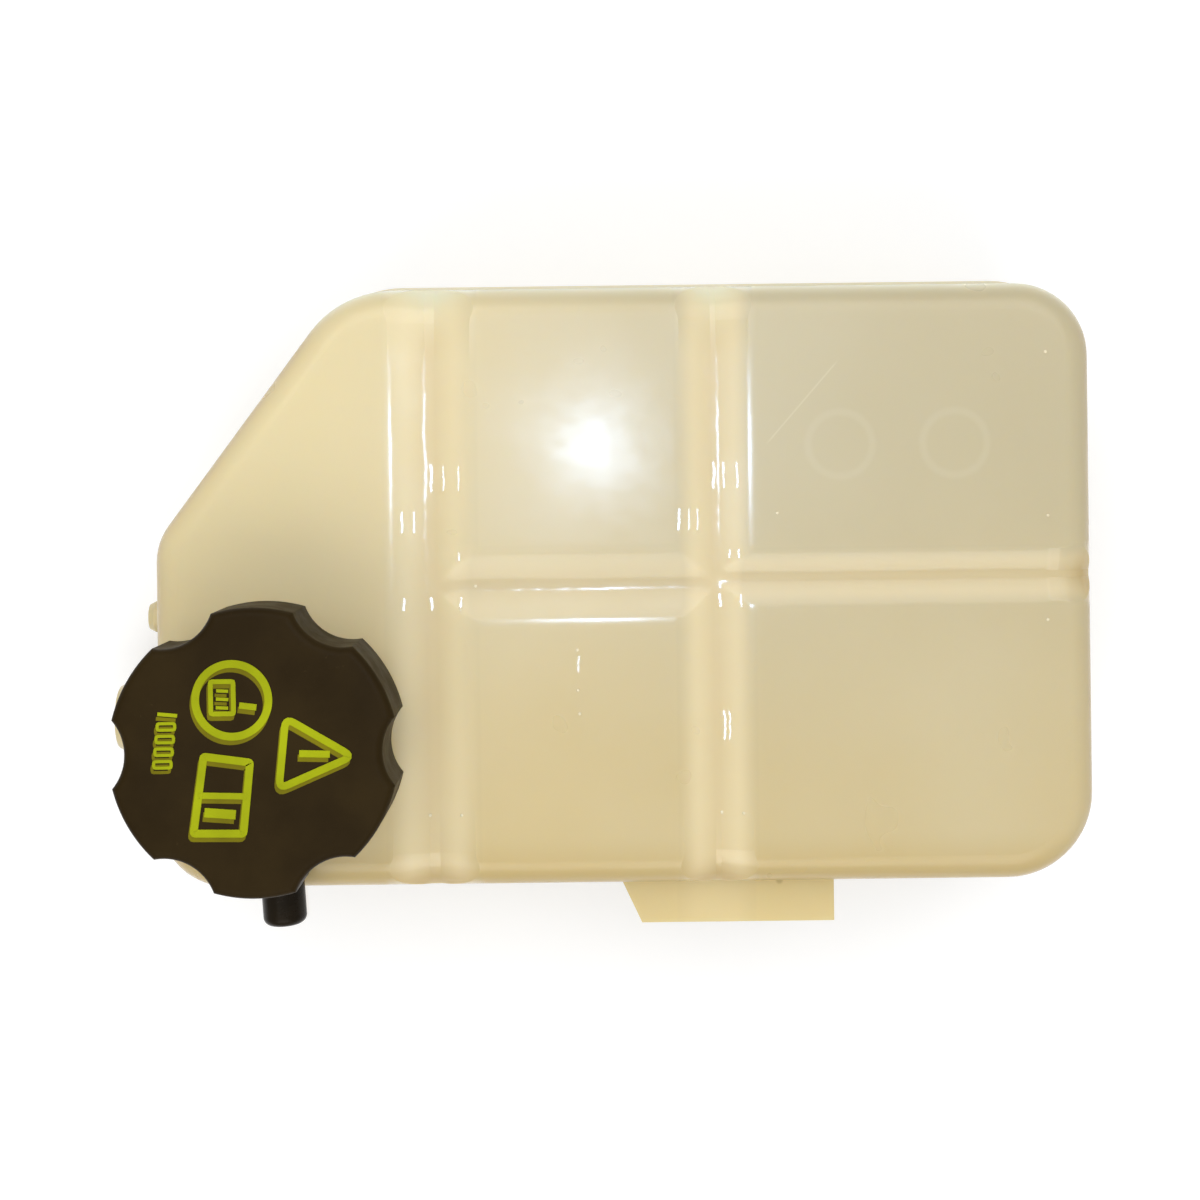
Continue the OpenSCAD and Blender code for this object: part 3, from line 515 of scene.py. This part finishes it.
# ---------- threads ----------
def thread(name, radius, depth, z_low, turns, lead, inside, material, body, slot):
    """A helical ridge on a cylinder: outward on the neck, inward in the cap's ring."""
    steps = int(turns * 72)
    sign = -1 if inside else 1
    verts, faces = [], []
    for i in range(steps + 1):
        t = i / steps
        a = 2 * math.pi * turns * t
        fade = min(1.0, t * turns * 6, (1 - t) * turns * 6)
        d = depth * fade * sign
        z = z_low + lead * turns * t
        for r, dz in ((radius - 0.3 * MM * sign, -1.5), (radius + d, -0.45), (radius + d, 0.45), (radius - 0.3 * MM * sign, 1.5)):
            verts.append((NECK.x + r * math.cos(a), NECK.y + r * math.sin(a), z + dz * MM))
    for i in range(steps):
        for k in range(3):
            a, b = 4 * i + k, 4 * (i + 1) + k
            faces.append((a, a + 1, b + 1, b))
        faces.append((4 * i + 3, 4 * i, 4 * (i + 1), 4 * (i + 1) + 3))
    faces.append((0, 1, 2, 3))
    e = 4 * steps
    faces.append((e + 3, e + 2, e + 1, e))
    return make(name, verts, faces, material, body, slot)


thread("neck_thread", NECK_R, 1.5 * MM, 102.5 * MM, 1.6, THREAD_LEAD, False, mats["shell"], "tank", "shell_plastic")
thread("ring_thread", RING_BORE_R, 1.4 * MM, 111.5 * MM, 1.4, THREAD_LEAD, True, mats["ring"], "cap", "cap_plastic")


# ---------- springs: round wire -------------------------------------------------
COIL_STEPS = 36
COIL_SIDES = 12
COIL_GAP = 0.1 * MM


def spring(name, node, mean_r, turns, body):
    """A compression spring with closed ends, which stands for a plain coil of the same size."""
    low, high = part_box(node)
    cx, cy = (low.x + high.x) / 2, (low.y + high.y) / 2
    wire = (high.x - low.x) / 2 - mean_r
    length = high.z - low.z
    closed = 2 * wire + COIL_GAP
    free = (length - 2 * wire - 2 * closed) / (turns - 2)
    steps = turns * COIL_STEPS
    verts, faces = [], []
    for i in range(steps + 1):
        t = i / COIL_STEPS
        a = 2 * math.pi * t
        if t < 1:
            z = wire + closed * t
        elif t > turns - 1:
            z = length - wire - closed * (turns - t)
        else:
            z = wire + closed + free * (t - 1)
        for k in range(COIL_SIDES):
            b = 2 * math.pi * k / COIL_SIDES
            out = mean_r + wire * math.cos(b)
            verts.append((cx + out * math.cos(a), cy + out * math.sin(a), low.z + z + wire * math.sin(b)))
    for i in range(steps):
        for k in range(COIL_SIDES):
            a, b = i * COIL_SIDES + k, i * COIL_SIDES + (k + 1) % COIL_SIDES
            faces.append((a, b, b + COIL_SIDES, a + COIL_SIDES))
    faces.append(tuple(range(COIL_SIDES)))
    faces.append(tuple(steps * COIL_SIDES + k for k in reversed(range(COIL_SIDES))))
    obj = make(name, verts, faces, mats["wire"], body, "spring_steel")
    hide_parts(node)
    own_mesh(obj)


spring("pressure_coil", "pressure_spring", 10 * MM, 6, "cartridge")
spring("vacuum_coil", "vacuum_spring", 3.1 * MM, 6, "pressure_valve")


# ---------- moulding pips on the top face, which catch the light ----------
def top_z(x, y):
    """Height of the top face, with its grooves."""
    inside = [(x, LEFT_BAND), (x, RIGHT_BAND)]
    if x > RIGHT_BAND[0]:
        inside.append((y, SIDE_BAND))
    elif x > LEFT_BAND[0]:
        inside.append((y, MID_BAND))
    share = max((half - abs(v - at)) / (half - floor) for v, (at, half, floor) in inside)
    return BODY_TOP - GROOVE_DEPTH * max(0.0, min(1.0, share))


def dome(x, y, z, r, h, rings=3, steps=12):
    verts, faces = [(x, y, z + h)], []
    for k in range(1, rings + 1):
        a = math.pi / 2 * k / rings
        for i in range(steps):
            b = 2 * math.pi * i / steps
            verts.append((x + r * math.sin(a) * math.cos(b), y + r * math.sin(a) * math.sin(b), z + h * math.cos(a)))
    verts.append((x, y, z - 0.2 * MM))
    for i in range(steps):
        j = (i + 1) % steps
        faces.append((0, 1 + i, 1 + j))
        for k in range(rings - 1):
            a = 1 + k * steps
            faces.append((a + i, a + steps + i, a + steps + j, a + j))
        faces.append((1 + (rings - 1) * steps + i, len(verts) - 1, 1 + (rings - 1) * steps + j))
    return verts, faces


PIPS = (
    (-13.4, -18.0), (-13.4, -29.5), (-13.0, -36.2), (121.4, 65.7), (121.6, 18.9), (121.2, -10.9),
    (-42.5, 0.4), (-46.8, -6.0), (-56.3, -65.2), (-47.1, -65.0), (27.5, -65.3), (33.7, -65.4), (44.2, 20.5),
)
make("pips", *join([dome(x * MM, y * MM, top_z(x * MM, y * MM), 0.5 * MM, 0.22 * MM) for x, y in PIPS]), mats["pip"], "tank", "shell_plastic")


# ---------- stage ----------
def floor_material():
    g = Graph("floor")
    ray = g.node("ShaderNodeLightPath")
    seen = g.math("MAXIMUM", ray.outputs["Is Camera Ray"], ray.outputs["Is Glossy Ray"])
    paper = g.mix(g.noise(3.0), (0.80, 0.80, 0.80, 1), (0.83, 0.83, 0.82, 1))
    g.set(Base_Color=g.mix(seen, paper, (0.97, 0.97, 0.97, 1)))
    g.set(Emission_Color=(1.0, 1.0, 1.0, 1.0), Emission_Strength=g.math("MULTIPLY", seen, 0.14))
    g.set(Roughness=0.9)
    g.bsdf.inputs["Specular IOR Level"].default_value = 0.1
    return g.mat


def plane(name, size, z, material):
    mesh = bpy.data.meshes.new(name)
    s = size / 2
    mesh.from_pydata([(-s, -s, z), (s, -s, z), (s, s, z), (-s, s, z)], [], [(0, 1, 2, 3)])
    mesh.materials.append(material)
    obj = bpy.data.objects.new(name, mesh)
    bpy.context.scene.collection.objects.link(obj)
    return obj


plane("floor", 8.0, 0.0, floor_material())


def area(name, place, target, size, power, colour=(1, 1, 1)):
    data = bpy.data.lights.new(name, "AREA")
    data.shape = "RECTANGLE"
    data.size, data.size_y = size
    data.energy = power
    data.color = colour
    obj = bpy.data.objects.new(name, data)
    obj.location = place
    obj.rotation_euler = (Vector(target) - Vector(place)).to_track_quat("-Z", "Y").to_euler()
    bpy.context.scene.collection.objects.link(obj)
    return obj


area("key", (0.05, 0.62, 1.25), (0, 0, 0.05), (1.6, 1.0), 8.9, (1.0, 0.97, 0.91))
area("fill", (-0.1, -0.85, 1.15), (0, 0, 0.05), (1.4, 0.8), 6.9, (1.0, 0.97, 0.92))
area("flash", (-0.0095, 0.0391, 0.66), (-0.0095, 0.039, 0.0), (0.005, 0.005), 0.52, (0.52, 0.7, 1.0))

world = bpy.data.worlds.new("studio")
bpy.context.scene.world = world
world.use_nodes = True
world.node_tree.nodes["Background"].inputs["Color"].default_value = (0.96, 0.97, 1.0, 1)
world.node_tree.nodes["Background"].inputs["Strength"].default_value = 0.5

# ---------- camera: straight down, with the picture's small turn ----------
FRAME_PX = 1200
FOCAL_PX = 1938
FOOT_PX = (596.5, 448)
TURN_DEG = -0.7
data = bpy.data.cameras.new("camera")
data.sensor_width = 36
data.lens = FOCAL_PX * 36 / FRAME_PX
data.shift_x = (FRAME_PX / 2 - FOOT_PX[0]) / FRAME_PX
data.shift_y = (FOOT_PX[1] - FRAME_PX / 2) / FRAME_PX
data.clip_start = 0.01
data.clip_end = 20
camera = bpy.data.objects.new("camera", data)
camera.location = (-7.25 * MM, 39.7 * MM, 644 * MM)
camera.rotation_euler = (0, 0, math.radians(TURN_DEG))
bpy.context.scene.collection.objects.link(camera)
bpy.context.scene.camera = camera
bpy.context.scene.view_settings.view_transform = "Standard"
